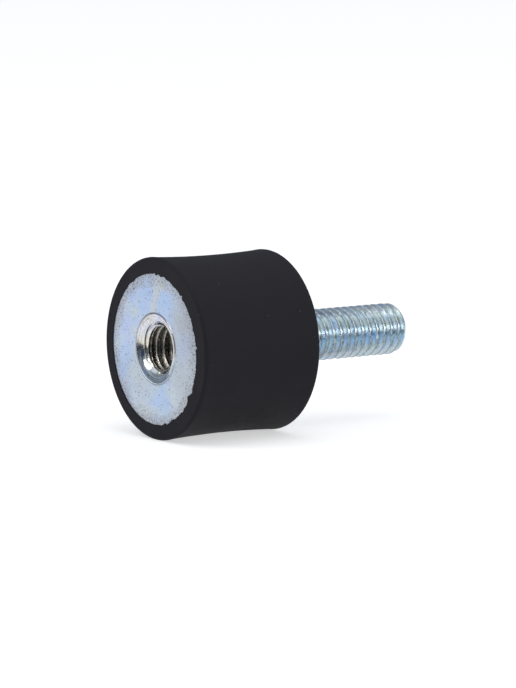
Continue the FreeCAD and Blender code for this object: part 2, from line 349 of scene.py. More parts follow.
def bush_piece():
    """The bush: its drilled and tapped bore, the mouth that the flaring punch rounded, a narrow bead with an
    eased outer edge, the flare, the neck through the disc, and the shoulder behind it. In the bore the radius
    is the larger of the thread's and that of the funnel which leads in from the mouth. The punch crowded the
    first threads together, so the phase there is d - CROWDING exp(-d / CROWDING_REACH) at a depth d, and it
    pressed the first groove nearly shut. What is left of it is a narrow crescent, which is
    notch exp(-((d - d0) / w)^2)."""
    columns = 240
    turn = angles(columns)
    rng = np.random.default_rng(seed=12)
    rows_per_pitch = 36
    mouth_rows_end, bore_rows_end = 0.27, 0.28
    tip = BORE_END + BORE_RADIUS / math.tan(DRILL_POINT_ANGLE / 2)
    funnel = bulged((FUNNEL_DEPTH, FUNNEL_RADIUS), (0, MOUTH_RADIUS), MOUTH_BULGE, 15)
    below = [(LEDGE_DEPTH, LEDGE_RADIUS), (LEDGE_DEPTH + 0.15, 2.2), (BORE_DEPTH, 0)]
    inward = np.concatenate([funnel[::-1], below])
    along = np.arange(BORE_END, FEMALE_STEEL + bore_rows_end, -PITCH / rows_per_pitch)[:, None]
    depth_in = along - FEMALE_STEEL
    lead_in = np.interp(depth_in, inward[:, 0], inward[:, 1])
    crowded = along - PITCH * CROWDING * np.exp(-depth_in / CROWDING_REACH)
    wrapped = (turn + math.pi) % (2 * math.pi) - math.pi
    phase = helix_phase(crowded, wrapped, FEMALE_STEEL + BUSH_THREAD_START)
    # The first turn is cut from two radians before the +Y side on, and the thread runs out at the bore's end.
    begun = np.clip((wrapped + 2.0) / 0.5, 0, 1)
    run_out = np.clip((BORE_END - along) / (1.5 * PITCH), 0, 1)
    full = run_out * np.where(phase < 0, 0, np.where(phase < 1, begun, 1))
    thread = BORE_RADIUS + (THREAD_RADIUS - BORE_RADIUS) * thread_depth(phase, crest=0.20, flank=0.34) * full
    # The crescent lies on the +Y side, and fades out above and below it.
    notch = NOTCH_DEPTH * np.clip((np.cos(turn - 0.2) - 0.62) / 0.2, 0, 1)
    notch = notch * np.exp(-((depth_in - NOTCH_PLACE + 0.08 * wrapped) / NOTCH_WIDTH) ** 2)
    ripple = waves(rng, along, turn, height=0.006, counts=(3, 20), lengths=(0.3, 2))
    radius = np.maximum(thread, lead_in + notch) + ripple
    in_mouth = (funnel[:, 0] < mouth_rows_end) & (funnel[:, 1] < MOUTH_RADIUS - 0.2)
    mouth = funnel[in_mouth] + (FEMALE_STEEL, 0)
    outside = eased([
        (FEMALE_STEEL, MOUTH_RADIUS - 0.18, 0),
        (FEMALE_STEEL - BEAD_HEIGHT, MOUTH_RADIUS - 0.05, 0.06),
        (FEMALE_STEEL + 0.02, FLARE_RADIUS, BROKEN_CORNER),
        (FEMALE_STEEL + FLARE_DEPTH, BUSH_NECK_RADIUS, 0),
        (FEMALE_STEEL_BACK, BUSH_NECK_RADIUS, 0),
        (FEMALE_STEEL_BACK, BUSH_RADIUS, BROKEN_CORNER),
        (BUSH_END - BUSH_CHAMFER, BUSH_RADIUS, BROKEN_CORNER),
        (BUSH_END, BUSH_RADIUS - BUSH_CHAMFER, BROKEN_CORNER),
        (BUSH_END, 0, 0),
    ])
    grid = np.concatenate([
        all_round([(tip, 0)], columns),
        rows(along, radius),
        all_round(mouth, columns),
        all_round(outside[1:], columns),
    ])
    cut = np.zeros(grid.shape[:2])
    cut[1:len(along) + 1] = np.clip((radius - lead_in) / 0.06 - 0.2, 0, 1)
    return turned_mesh("flared_bush", grid, columns, ["threaded_bush"], {"cut": cut})


def stud_piece():
    """The stud: its head and neck, then the threaded shank. The shank's radius is the crest's, less the
    thread's depth, less wear and dents, and is held below the rounded tip."""
    columns = 150
    turn = angles(columns)
    rng = np.random.default_rng(seed=13)
    rows_per_pitch = 26
    head = eased([
        (HEAD_END, 0, 0),
        (HEAD_END, HEAD_RADIUS - HEAD_CHAMFER, BROKEN_CORNER),
        (HEAD_END + HEAD_CHAMFER, HEAD_RADIUS, BROKEN_CORNER),
        (STUD_STEEL_BACK, HEAD_RADIUS, BROKEN_CORNER),
        (STUD_STEEL_BACK, STUD_NECK_RADIUS, 0),
        (STUD_STEEL, STUD_NECK_RADIUS, BROKEN_CORNER),
        (STUD_STEEL, STUD_RADIUS - 0.05, 0),
    ])
    along = np.arange(STUD_STEEL + 0.02, TIP_END - 0.01, PITCH / rows_per_pitch)[:, None]
    depth = thread_depth(helix_phase(along, turn, STUD_THREAD_START), crest=0.11, flank=0.33)
    # The thread gets shallower over the last turns before the disc.
    run_out = 0.3 + 0.7 * np.clip((along - STUD_STEEL) / (2.2 * PITCH), 0, 1)
    thread = STUD_RADIUS - 0.01 - STUD_THREAD_DEPTH * depth * run_out
    wear = waves(rng, along, turn, height=0.02, counts=(2, 16), lengths=(0.6, 5))
    worn = np.clip(wear, 0, 0.04) * (1 - depth)
    nicks = np.column_stack([
        rng.uniform(1, TIP_END - 1, NICKS), rng.uniform(0, 2 * math.pi, NICKS),
        rng.uniform(0.05, 0.16, NICKS), rng.uniform(0.08, 0.2, NICKS),
    ])
    shank = thread - worn - dents(along, turn, STUD_RADIUS, nicks) * (1 - 0.7 * depth)
    tip = bulged((TIP_END - TIP_LENGTH, STUD_RADIUS), (TIP_END, STUD_RADIUS - TIP_DROP), TIP_BULGE, 60)
    ceiling = np.interp(along[:, 0], tip[:, 0], tip[:, 1])[:, None]
    rumple = waves(rng, along, turn, height=0.012, counts=(2, 12), lengths=(0.5, 2))
    radius = np.minimum(shank, ceiling - np.clip(rumple, 0, 0.03))
    face = eased([
        (TIP_END - 0.05, STUD_RADIUS - TIP_DROP + 0.03, 0),
        (TIP_END, STUD_RADIUS - TIP_DROP - 0.05, 0.04),
        (TIP_END, 0, 0),
    ])
    grid = np.concatenate([all_round(head, columns), rows(along, radius), all_round(face[1:], columns)])
    return turned_mesh("rolled_stud", grid, columns, ["threaded_stud"])


# Shader nodes

def fill(tree, socket, value):
    """Sets an input, or links another node's output to it."""
    if isinstance(value, bpy.types.NodeSocket):
        tree.links.new(value, socket)
    else:
        socket.default_value = value


def add(tree, kind, inputs=None, **settings):
    """Adds a node, sets its settings and fills its inputs, which are named or numbered."""
    node = tree.nodes.new("ShaderNode" + kind)
    for name, value in settings.items():
        setattr(node, name, value)
    for key, value in (inputs or {}).items():
        fill(tree, node.inputs[key], value)
    return node


def maths(tree, operation, *values):
    """One step of arithmetic."""
    return add(tree, "Math", dict(enumerate(values)), operation=operation).outputs[0]


def vector_maths(tree, operation, *values):
    """One step of arithmetic on each part of a vector."""
    return add(tree, "VectorMath", dict(enumerate(values)), operation=operation).outputs[0]


def vector_length(tree, vector):
    """The length of a vector."""
    return add(tree, "VectorMath", {0: vector}, operation="LENGTH").outputs["Value"]


def separated(tree, vector):
    """The three parts of a vector."""
    return add(tree, "SeparateXYZ", {0: vector}).outputs


def mask_between(tree, value, low, high):
    """A mask that eases from 0 where a value is at low to 1 where it is at high."""
    inputs = {"Value": value, "From Min": low, "From Max": high}
    return add(tree, "MapRange", inputs, interpolation_type="SMOOTHSTEP").outputs["Result"]


def mix(tree, mask, first, second, blend="MIX"):
    """Mixes two colours by a mask."""
    return add(tree, "Mix", {0: mask, 6: first, 7: second}, data_type="RGBA", blend_type=blend).outputs[2]


def laid(tree, colour, mask, opacity, tone):
    """Lays a tone over a colour, by a mask and an opacity."""
    return mix(tree, maths(tree, "MULTIPLY", mask, opacity), colour, tone)


def shade(tree, colour, factor):
    """Multiplies a colour, or any vector, by a value."""
    return add(tree, "VectorMath", {0: colour, "Scale": factor}, operation="SCALE").outputs[0]


def noise(tree, place, scale, detail=2.0, roughness=0.5, distortion=0.0):
    """Cloudy noise, about 0 to 1, whose scale is in features per unit of its place."""
    inputs = {
        "Vector": place, "Scale": scale, "Detail": detail, "Roughness": roughness, "Distortion": distortion,
    }
    return add(tree, "TexNoise", inputs).outputs["Fac"]


def varied(tree, value, low, high):
    """Turns noise into a factor that goes from low to high."""
    inputs = {"Value": value, "From Min": 0.3, "From Max": 0.7, "To Min": low, "To Max": high}
    return add(tree, "MapRange", inputs, clamp=True).outputs["Result"]


def new_group(name, inputs, outputs):
    """A shader node group, with the sockets of its two ends. Inputs are (name, type, value), with no value
    for vectors, and outputs are (name, type)."""
    tree = bpy.data.node_groups.new(name, "ShaderNodeTree")
    for label, kind, value in inputs:
        socket = tree.interface.new_socket(label, in_out="INPUT", socket_type="NodeSocket" + kind)
        if value is not None:
            socket.default_value = value
    for label, kind in outputs:
        tree.interface.new_socket(label, in_out="OUTPUT", socket_type="NodeSocket" + kind)
    return tree, tree.nodes.new("NodeGroupInput").outputs, tree.nodes.new("NodeGroupOutput").inputs


def placed(tree, group, inputs):
    """Places a group in a material or in another group, fills its inputs, and gives its outputs."""
    node = tree.nodes.new("ShaderNodeGroup")
    node.node_tree = group
    for key, value in inputs.items():
        fill(tree, node.inputs[key], value)
    return node.outputs


def scattered(tree, specks, place, cells, size, share):
    """A mask of scattered specks, from one of the groups of specks."""
    inputs = {"Place": place, "Cells per mm": cells, "Size in cells": size, "Share": share}
    return placed(tree, specks, inputs)["Mask"]


# Effects that the materials share

def round_the_axis_group():
    """Where a point is about the X axis, in millimetres: its place, how far along it is, and its radius,
    which is the root of y^2 + z^2."""
    results = [("Place", "Vector"), ("Along", "Float"), ("Radius", "Float")]
    tree, _, out = new_group("round_the_axis", [], results)
    place = shade(tree, add(tree, "TexCoord").outputs["Object"], 1 / MM)
    parts = separated(tree, place)
    squares = [maths(tree, "MULTIPLY", part, part) for part in (parts[1], parts[2])]
    fill(tree, out["Place"], place)
    fill(tree, out["Along"], parts[0])
    fill(tree, out["Radius"], maths(tree, "SQRT", maths(tree, "ADD", *squares)))
    return tree


def specks_group(name, dimensions):
    """Scattered specks with ragged edges. Each cell of a Voronoi pattern holds one, of the given size, if its
    random colour is under the given share. The pattern is solid, or flat across the axis, and noise pushes
    it about, which frays the edges."""
    tree, given, out = new_group(
        name,
        [
            ("Place", "Vector", None), ("Cells per mm", "Float", 1.5), ("Size in cells", "Float", 0.12),
            ("Share", "Float", 0.5),
        ],
        [("Mask", "Float")],
    )
    parts = separated(tree, given["Place"])
    turned = add(tree, "CombineXYZ", {"X": parts[1], "Y": parts[2], "Z": parts[0]}).outputs[0]
    push = add(tree, "TexNoise", {"Vector": given["Place"], "Scale": 7.0, "Detail": 2.0}).outputs["Color"]
    frayed = vector_maths(tree, "MULTIPLY_ADD", push, (0.22, 0.22, 0.22), turned)
    inputs = {"Vector": frayed, "Scale": given["Cells per mm"]}
    cells = add(tree, "TexVoronoi", inputs, voronoi_dimensions=dimensions).outputs
    inner = maths(tree, "MULTIPLY", given["Size in cells"], 0.5)
    inside = mask_between(tree, cells["Distance"], given["Size in cells"], inner)
    chance = add(tree, "SeparateColor", {0: cells["Color"]}).outputs[0]
    chosen = maths(tree, "LESS_THAN", chance, given["Share"])
    fill(tree, out["Mask"], maths(tree, "MULTIPLY", inside, chosen))
    return tree


PIT = (0.08, 0.12, 0.15, 1)
FINE_PIT = (0.14, 0.17, 0.20, 1)
PALE_SPOT = (0.82, 0.84, 0.86, 1)
SCRATCH = (0.85, 0.86, 0.88, 1)


def zinc_group(specks):
    """Zinc plate: soft patches of a cool and a warm tint, clouds, a fine grain, pits and pale spots, and long
    faint scratches. Height is in millimetres."""
    tree, given, out = new_group(
        "zinc_plate",
        [
            ("Place", "Vector", None), ("Cool", "Color", (0.4, 0.5, 0.7, 1)),
            ("Warm", "Color", (0.5, 0.5, 0.5, 1)), ("Warm share", "Float", 0.5),
            ("Patches per mm", "Float", 0.3), ("Softness", "Float", 0.1), ("Pits", "Float", 0.4),
            ("Grain", "Float", 1.0), ("Roughness", "Float", 0.3),
        ],
        [("Colour", "Color"), ("Roughness", "Float"), ("Height", "Float")],
    )
    place = given["Place"]
    patches = noise(tree, place, given["Patches per mm"], 3, 0.55, 0.6)
    edge = maths(tree, "SUBTRACT", 0.75, maths(tree, "MULTIPLY", given["Warm share"], 0.5))
    warm_from = maths(tree, "SUBTRACT", edge, given["Softness"])
    warm = mask_between(tree, patches, warm_from, maths(tree, "ADD", edge, given["Softness"]))
    colour = mix(tree, warm, given["Cool"], given["Warm"])
    clouds = noise(tree, place, 1.1, 4, 0.6)
    grain = noise(tree, place, 9, 3, 0.65)
    colour = shade(tree, colour, varied(tree, clouds, 0.92, 1.08))
    grain_low = maths(tree, "SUBTRACT", 1, maths(tree, "MULTIPLY", given["Grain"], 0.09))
    grain_high = maths(tree, "ADD", 1, maths(tree, "MULTIPLY", given["Grain"], 0.07))
    colour = shade(tree, colour, varied(tree, grain, grain_low, grain_high))
    pits = scattered(tree, specks, place, 1.9, 0.24, given["Pits"])
    fine = scattered(tree, specks, place, 3.6, 0.36, given["Pits"])
    pale = scattered(tree, specks, place, 3.1, 0.22, given["Pits"])
    colour = laid(tree, colour, pits, 0.80, PIT)
    colour = laid(tree, colour, fine, 0.55, FINE_PIT)
    colour = laid(tree, colour, pale, 0.35, PALE_SPOT)
    stretch = {"Vector": place, "Rotation": (0.35, 0.2, 0.1), "Scale": (7, 9, 0.35)}
    stretched = add(tree, "Mapping", stretch).outputs[0]
    scratches = mask_between(tree, noise(tree, stretched, 1, 2, 0.5), 0.62, 0.72)
    colour = laid(tree, colour, scratches, 0.16, SCRATCH)
    rough = maths(tree, "ADD", given["Roughness"], varied(tree, clouds, -0.05, 0.06))
    rough = maths(tree, "ADD", rough, maths(tree, "MULTIPLY", maths(tree, "MAXIMUM", pits, fine), 0.18))
    height = maths(tree, "MULTIPLY", maths(tree, "MULTIPLY", grain, given["Grain"]), 0.006)
    height = maths(tree, "ADD", height, maths(tree, "MULTIPLY", clouds, 0.012))
    height = maths(tree, "SUBTRACT", height, maths(tree, "MULTIPLY", pits, 0.010))
    height = maths(tree, "SUBTRACT", height, maths(tree, "MULTIPLY", scratches, 0.003))
    fill(tree, out["Colour"], colour)
    fill(tree, out["Roughness"], rough)
    fill(tree, out["Height"], height)
    return tree


def new_material(name):
    """A material with its shader, and where each of its points lies about the axis."""
    material = bpy.data.materials.new(name)
    material.use_nodes = True
    tree = material.node_tree
    shader = tree.nodes["Principled BSDF"]
    return material, tree, shader, placed(tree, ROUND_THE_AXIS, {})


def finish_shader(tree, shader, colour, rough, height):
    """Gives a shader its colour, roughness and relief. Relief is in millimetres."""
    bump = add(tree, "Bump", {"Height": height, "Distance": MM, "Strength": 1.0})
    fill(tree, shader.inputs["Base Color"], colour)
    fill(tree, shader.inputs["Roughness"], rough)
    fill(tree, shader.inputs["Normal"], bump.outputs[0])


# Materials

BLUE_ZINC = (0.46, 0.58, 0.80, 1)
GREY_ZINC = (0.55, 0.63, 0.70, 1)
LAVENDER_ZINC = (0.50, 0.56, 0.80, 1)
CLOUDED_ZINC = (0.59, 0.64, 0.67, 1)
DARKER_SIDE_ZINC = (0.50, 0.55, 0.60, 1)
BAND_ZINC = (0.58, 0.60, 0.60, 1)
MARGIN_ZINC = (0.51, 0.53, 0.56, 1)
PEPPER = (0.16, 0.17, 0.20, 1)
SEAM = (0.16, 0.15, 0.20, 1)

# Patches of zinc on the tapped end's disc: across, up, radius and tint.
PLATE_PATCHES = [
    (2.0, 5.6, 3.1, (0.44, 0.57, 0.83, 1)), (-2.5, 4.6, 2.0, (0.44, 0.58, 0.83, 1)),
    (5.6, 1.6, 2.4, (0.47, 0.56, 0.79, 1)), (-5.6, 0.5, 2.1, (0.48, 0.55, 0.77, 1)),
    (-1.4, -6.2, 2.6, (0.46, 0.59, 0.79, 1)), (6.6, -1.6, 2.0, (0.44, 0.57, 0.80, 1)),
    (3.4, -4.4, 3.0, (0.55, 0.61, 0.66, 1)), (-5.2, -3.2, 2.6, (0.52, 0.57, 0.63, 1)),
    (-5.5, 3.8, 2.5, (0.48, 0.50, 0.54, 1)),
]

# Specks on the discs: cells per millimetre, size in cells, opacity and tint.
PLATE_SPECKS = [
    (3.3, 0.21, 0.85, (0.08, 0.10, 0.14, 1)), (1.5, 0.13, 0.95, (0.05, 0.07, 0.10, 1)),
    (2.3, 0.17, 0.50, (0.86, 0.88, 0.92, 1)),
]


def distance_across(tree, place, y, z):
    """How far a point is from a line along X that crosses the discs at y and z."""
    away = vector_maths(tree, "ADD", place, (-FEMALE_STEEL, -y, -z))
    return vector_length(tree, vector_maths(tree, "MULTIPLY", away, (0, 1, 1)))


def plate_material():
    """Blue-white zinc on a disc: soft patches, paler clouds, a pale band that runs up from the bush, one side
    darker than the other, and a greyer margin beside the rubber that is full of specks. A painted highlight
    makes the top a little brighter, and dirt fills the seam round the bush."""
    material, tree, shader, about = new_material("zinc_disc")
    place = about["Place"]
    reach = distance_across(tree, place, *FEMALE_SHIFT)
    reach = maths(tree, "ADD", reach, varied(tree, noise(tree, place, 0.4, 3, 0.6), -0.5, 0.7))
    margin = mask_between(tree, reach, BARE_RADIUS - 1.7, BARE_RADIUS - 0.1)
    streaked = vector_maths(tree, "MULTIPLY", place, (1.0, 0.85, 0.9))
    zinc = placed(tree, ZINC, {
        "Place": streaked, "Cool": BLUE_ZINC, "Warm": GREY_ZINC, "Warm share": 0.55,
        "Patches per mm": 0.24, "Softness": 0.10, "Pits": 0.05,
        "Grain": maths(tree, "ADD", 0.8, margin), "Roughness": 0.36,
    })
    clouds = noise(tree, streaked, 0.55, 3, 0.55, 0.4)
    lavender = mask_between(tree, noise(tree, streaked, 0.3, 2, 0.5), 0.54, 0.62)
    colour = laid(tree, zinc["Colour"], lavender, 0.25, LAVENDER_ZINC)
    colour = laid(tree, colour, mask_between(tree, clouds, 0.50, 0.68), 0.6, CLOUDED_ZINC)
    for y, z, size, tone in PLATE_PATCHES:
        away = distance_across(tree, place, y, z)
        away = maths(tree, "ADD", away, varied(tree, clouds, -1.1, 1.1))
        colour = laid(tree, colour, mask_between(tree, away, size * 1.15, size * 0.2), 0.8, tone)
    _, across, up = separated(tree, place)
    # Darker towards the -Y side.
    side = maths(tree, "ADD", across, varied(tree, clouds, -1.5, 1.5))
    colour = laid(tree, colour, mask_between(tree, side, -1.0, -8.0), 0.6, DARKER_SIDE_ZINC)
    bend = maths(tree, "ADD", maths(tree, "MULTIPLY", up, 0.3), varied(tree, clouds, -0.7, 0.7))
    aside = maths(tree, "ABSOLUTE", maths(tree, "ADD", across, maths(tree, "SUBTRACT", bend, 1.5)))
    band = maths(tree, "MULTIPLY", mask_between(tree, aside, 1.1, 0.2), mask_between(tree, up, 3.4, 4.6))
    colour = laid(tree, colour, band, 0.7, BAND_ZINC)
    colour = laid(tree, colour, margin, 0.75, MARGIN_ZINC)
    # Painted highlight: the top of the disc is made a little brighter.
    painted_top_light = mask_between(tree, maths(tree, "ADD", up, maths(tree, "MULTIPLY", across, 0.5)), 0.0, 3.5)
    colour = shade(tree, colour, maths(tree, "ADD", 1, maths(tree, "MULTIPLY", painted_top_light, 0.14)))
    crowd = maths(tree, "ADD", 0.22, maths(tree, "MULTIPLY", margin, 0.5))
    for cells, size, opacity, tone in PLATE_SPECKS:
        colour = laid(tree, colour, scattered(tree, FLAT_SPECKS, place, cells, size, crowd), opacity, tone)
    pepper = mask_between(tree, noise(tree, place, 4.5, 2, 0.7), 0.48, 0.66)
    strewn = maths(tree, "ADD", 0.10, maths(tree, "MULTIPLY", margin, 0.5))
    colour = laid(tree, colour, pepper, strewn, PEPPER)
    seam = mask_between(tree, about["Radius"], FLARE_RADIUS + 0.10, FLARE_RADIUS + 0.01)
    colour = laid(tree, colour, seam, 0.5, SEAM)
    rough = maths(tree, "ADD", zinc["Roughness"], maths(tree, "MULTIPLY", margin, 0.10))
    shader.inputs["Metallic"].default_value = 1.0
    finish_shader(tree, shader, colour, rough, zinc["Height"])
    return material


WHITE = (1.0, 1.0, 1.0, 1)
BUSH_COOL = (0.62, 0.63, 0.64, 1)
BUSH_WARM = (0.66, 0.62, 0.53, 1)
# Painted reflection tints for the upper and lower parts of the mouth.
PAINTED_TOP_REFLECTION_TINT = (0.93, 0.96, 1.12, 1)
PAINTED_LOWER_REFLECTION_TINT = (0.94, 1.04, 1.17, 1)
OILY_DARK = (0.20, 0.19, 0.15, 1)
OILY_LIGHT = (0.42, 0.40, 0.35, 1)
CUT_CREST = (0.58, 0.56, 0.52, 1)
# Painted glints in the grit of the bore's lower side.
PAINTED_GLINT_STEEL = (0.86, 0.80, 0.72, 1)
# Dark for the seam line at the bush's edge, and for a painted dark reflection on the mouth's rim.
SEAM_AND_PAINTED_REFLECTION_DARK = (0.12, 0.13, 0.15, 1)


def polished_mouth(tree, zinc_colour, about, up, rings):
    """The colour of the mouth: zinc tinted cool above and below as a painted reflection, fine rings, cloudy
    streaks, and broad turned rings, made much stronger on its lower half as painted reflection streaks."""
    # Painted reflection: cool tints on the upper and lower parts of the mouth.
    tint = mix(tree, mask_between(tree, up, 0.8, 2.6), WHITE, PAINTED_TOP_REFLECTION_TINT)
    tint = mix(tree, mask_between(tree, up, -0.2, -1.2), tint, PAINTED_LOWER_REFLECTION_TINT)
    polished = mix(tree, 1.0, zinc_colour, tint, "MULTIPLY")
    streaks = noise(tree, vector_maths(tree, "ADD", rings, about["Place"]), 2.2, 3, 0.6, 0.8)
    polished = shade(tree, polished, varied(tree, noise(tree, rings, 9, 2, 0.6), 0.80, 1.12))
    polished = shade(tree, polished, varied(tree, streaks, 0.78, 1.18))
    # Broad turned rings, strong only on the lower half, where they partly stand in for streaks of reflection.
    broad_rings_and_painted_streaks = varied(tree, noise(tree, rings, 6.5, 2, 0.5), 0.50, 1.85)
    low = mask_between(tree, up, -1.3, -2.7)
    broad_rings_and_painted_streaks = maths(tree, "ADD", 1, maths(tree, "MULTIPLY", low, maths(tree, "SUBTRACT", broad_rings_and_painted_streaks, 0.88)))
    return shade(tree, polished, broad_rings_and_painted_streaks)


def oily_wall(tree, about, up, grit):
    """The colour of the tapped wall: oily steel with lighter crests, painted shade that darkens it with
    depth, and painted glints of bright steel in the grit of its lower side."""
    # Painted shade: the wall darkens with depth.
    painted_depth_shade = mask_between(tree, about["Along"], FEMALE_STEEL + 0.7, FEMALE_STEEL + 4.0)
    crest = mask_between(tree, about["Radius"], BORE_RADIUS + 0.22, BORE_RADIUS + 0.05)
    wall = mix(tree, noise(tree, about["Place"], 2.5, 4, 0.6), OILY_DARK, OILY_LIGHT)
    wall = laid(tree, wall, crest, 0.55, CUT_CREST)
    wall = shade(tree, wall, maths(tree, "SUBTRACT", 1, maths(tree, "MULTIPLY", painted_depth_shade, 0.35)))
    # Painted glints: bright steel in the grit, on the lower side only.
    painted_glints = maths(tree, "MULTIPLY", mask_between(tree, up, -0.5, -1.7), mask_between(tree, grit, 0.40, 0.62))
    return laid(tree, wall, painted_glints, 0.8, PAINTED_GLINT_STEEL)


def bush_material():
    """The bush's mouth is polished by the punch that flared it, and its bore is bare, oily and rougher. A
    dark line marks its outer edge, and a painted dark reflection darkens the lower part of the mouth's rim."""
    material, tree, shader, about = new_material("polished_bush")
    zinc = placed(tree, ZINC, {
        "Place": about["Place"], "Cool": BUSH_COOL, "Warm": BUSH_WARM, "Warm share": 0.5,
        "Patches per mm": 0.3, "Softness": 0.12, "Pits": 0.18, "Grain": 0.4, "Roughness": 0.11,
    })
    _, across, up = separated(tree, about["Place"])
    rings = add(tree, "CombineXYZ", {"X": about["Along"], "Y": about["Radius"]}).outputs[0]
    grit = noise(tree, about["Place"], 6.5, 3, 0.7)
    cut = add(tree, "Attribute", attribute_name="cut").outputs["Fac"]
    behind = mask_between(tree, about["Along"], FEMALE_STEEL + 1.0, FEMALE_STEEL + 1.3)
    bore = maths(tree, "MAXIMUM", cut, behind)
    polished = polished_mouth(tree, zinc["Colour"], about, up, rings)
    colour = mix(tree, bore, polished, oily_wall(tree, about, up, grit))
    edge = mask_between(tree, about["Radius"], FLARE_RADIUS - 0.06, FLARE_RADIUS - 0.01)
    down = maths(tree, "ADD", maths(tree, "MULTIPLY", across, -0.55), maths(tree, "MULTIPLY", up, -0.83))
    rim = mask_between(tree, about["Radius"], MOUTH_RADIUS - 0.30, MOUTH_RADIUS - 0.10)
    # Painted reflection: a dark arc on the lower part of the mouth's rim.
    painted_dark_reflection = maths(tree, "MULTIPLY", rim, mask_between(tree, down, 2.3, 3.4))
    dark = maths(tree, "MAXIMUM", maths(tree, "MULTIPLY", edge, 0.6), painted_dark_reflection)
    colour = laid(tree, colour, dark, 0.60, SEAM_AND_PAINTED_REFLECTION_DARK)
    rough = maths(tree, "ADD", zinc["Roughness"], maths(tree, "MULTIPLY", bore, 0.16))
    turned = maths(tree, "MULTIPLY", noise(tree, rings, 14, 2, 0.6), 0.004)
    relief = maths(tree, "ADD", maths(tree, "MULTIPLY", zinc["Height"], 0.5), turned)
    relief = maths(tree, "ADD", relief, maths(tree, "MULTIPLY", maths(tree, "MULTIPLY", grit, bore), 0.035))
    shader.inputs["Metallic"].default_value = 1.0
    finish_shader(tree, shader, colour, rough, relief)
    return material


STUD_COOL = (0.58, 0.69, 0.76, 1)
STUD_WARM = (0.64, 0.72, 0.75, 1)
ROOT_FILM = (0.22, 0.24, 0.22, 1)
BLUE_HUE = (0.92, 0.98, 1.10, 1)
OLIVE_HUE = (1.00, 1.02, 0.94, 1)
# Painted light on the stud: a bluer reflection under the middle, a highlight on the top, shade underneath.
PAINTED_BLUE_REFLECTION = (0.88, 0.97, 1.08, 1)
PAINTED_TOP_HIGHLIGHT = (1.14, 1.12, 1.10, 1)
PAINTED_UNDERSIDE_SHADE = (0.86, 0.86, 0.88, 1)


def stud_material():
    """Zinc on the rolled thread: crests a little darker, and darker still on the lower half by painted shade,
    roots that hold a dark olive film, patches of blue and olive hue, a bluer painted reflection band under
    the middle, a painted highlight on the top and painted shade on the underside."""
    material, tree, shader, about = new_material("zinc_stud")
    zinc = placed(tree, ZINC, {
        "Place": about["Place"], "Cool": STUD_COOL, "Warm": STUD_WARM, "Warm share": 0.45,
        "Patches per mm": 0.6, "Softness": 0.15, "Pits": 0.10, "Grain": 1.0, "Roughness": 0.27,
    })
    crest = mask_between(tree, about["Radius"], STUD_RADIUS - 0.12, STUD_RADIUS - 0.02)
    root = mask_between(tree, about["Radius"], STUD_RADIUS - 0.40, STUD_RADIUS - 0.54)
    root = maths(tree, "MULTIPLY", root, mask_between(tree, about["Along"], TIP_END - 0.7, TIP_END - 1.1))
    film = varied(tree, noise(tree, about["Place"], 1.6, 3, 0.6), 0.35, 0.9)
    colour = laid(tree, zinc["Colour"], root, film, ROOT_FILM)
    up = separated(tree, about["Place"])[2]
    # Painted shade: the crests are darkened further on the lower half.
    painted_shade_below = mask_between(tree, up, 0.3, -1.0)
    worn = maths(tree, "MULTIPLY", crest, maths(tree, "ADD", 0.05, maths(tree, "MULTIPLY", painted_shade_below, 0.45)))
    colour = shade(tree, colour, maths(tree, "SUBTRACT", 1, worn))
    hues = noise(tree, about["Place"], 0.9, 2, 0.6)
    # Painted reflection: a bluer band just under the middle.
    painted_reflection_band = mask_between(tree, up, 0.4, -0.3)
    painted_reflection_band = maths(tree, "MULTIPLY", painted_reflection_band, mask_between(tree, up, -1.7, -0.8))
    # The blue and olive hues are the zinc's own; the bluer band, the bright top and the dim underside are
    # painted reflection, painted highlight and painted shade.
    for mask, tint in (
        (mask_between(tree, hues, 0.54, 0.66), BLUE_HUE),
        (mask_between(tree, hues, 0.46, 0.36), OLIVE_HUE),
        (painted_reflection_band, PAINTED_BLUE_REFLECTION),
        (mask_between(tree, up, 1.0, 2.2), PAINTED_TOP_HIGHLIGHT),
        (mask_between(tree, up, -1.6, -2.5), PAINTED_UNDERSIDE_SHADE),
    ):
        colour = mix(tree, mask, colour, tint, "MULTIPLY")
    shader.inputs["Metallic"].default_value = 1.0
    finish_shader(tree, shader, colour, zinc["Roughness"], zinc["Height"])
    return material


BLACK_RUBBER = (0.0148, 0.0142, 0.0176, 1)
BLOOMED_RUBBER = (0.0198, 0.0187, 0.0230, 1)
DUST = (0.16, 0.16, 0.17, 1)
PORE = (0.006, 0.006, 0.007, 1)


def rubber_material():
    """Matt black rubber with a faint blue cast, a fine moulded grain, faint cloudy bloom, and a few specks of
    dust and small pores."""
    material, tree, shader, about = new_material("matt_rubber")
    place = about["Place"]
    bloom = noise(tree, place, 0.35, 4, 0.6, 0.3)
    grain = noise(tree, place, 14, 3, 0.6)
    rumple = noise(tree, place, 1.6, 3, 0.5)
    dust = scattered(tree, SPECKS, place, 0.9, 0.09, 0.35)
    pores = scattered(tree, SPECKS, place, 2.2, 0.13, 0.25)
    colour = mix(tree, bloom, BLACK_RUBBER, BLOOMED_RUBBER)
    colour = shade(tree, colour, varied(tree, grain, 0.88, 1.12))
    colour = laid(tree, colour, dust, 0.30, DUST)
    colour = laid(tree, colour, pores, 0.5, PORE)
    rough = varied(tree, bloom, 0.62, 0.72)
    height = maths(tree, "ADD", maths(tree, "MULTIPLY", grain, 0.005), maths(tree, "MULTIPLY", rumple, 0.012))
    height = maths(tree, "SUBTRACT", height, maths(tree, "MULTIPLY", pores, 0.012))
    shader.inputs["Specular IOR Level"].default_value = 0.14
    finish_shader(tree, shader, colour, rough, height)
    return material


# Studio. Places and sizes are in metres.

FLOOR_SIZE = 3.0
FLOOR_HEIGHT = -BODY_RADIUS * MM
FLOOR_GREY = 0.7
FLOOR_GLOW = 0.54

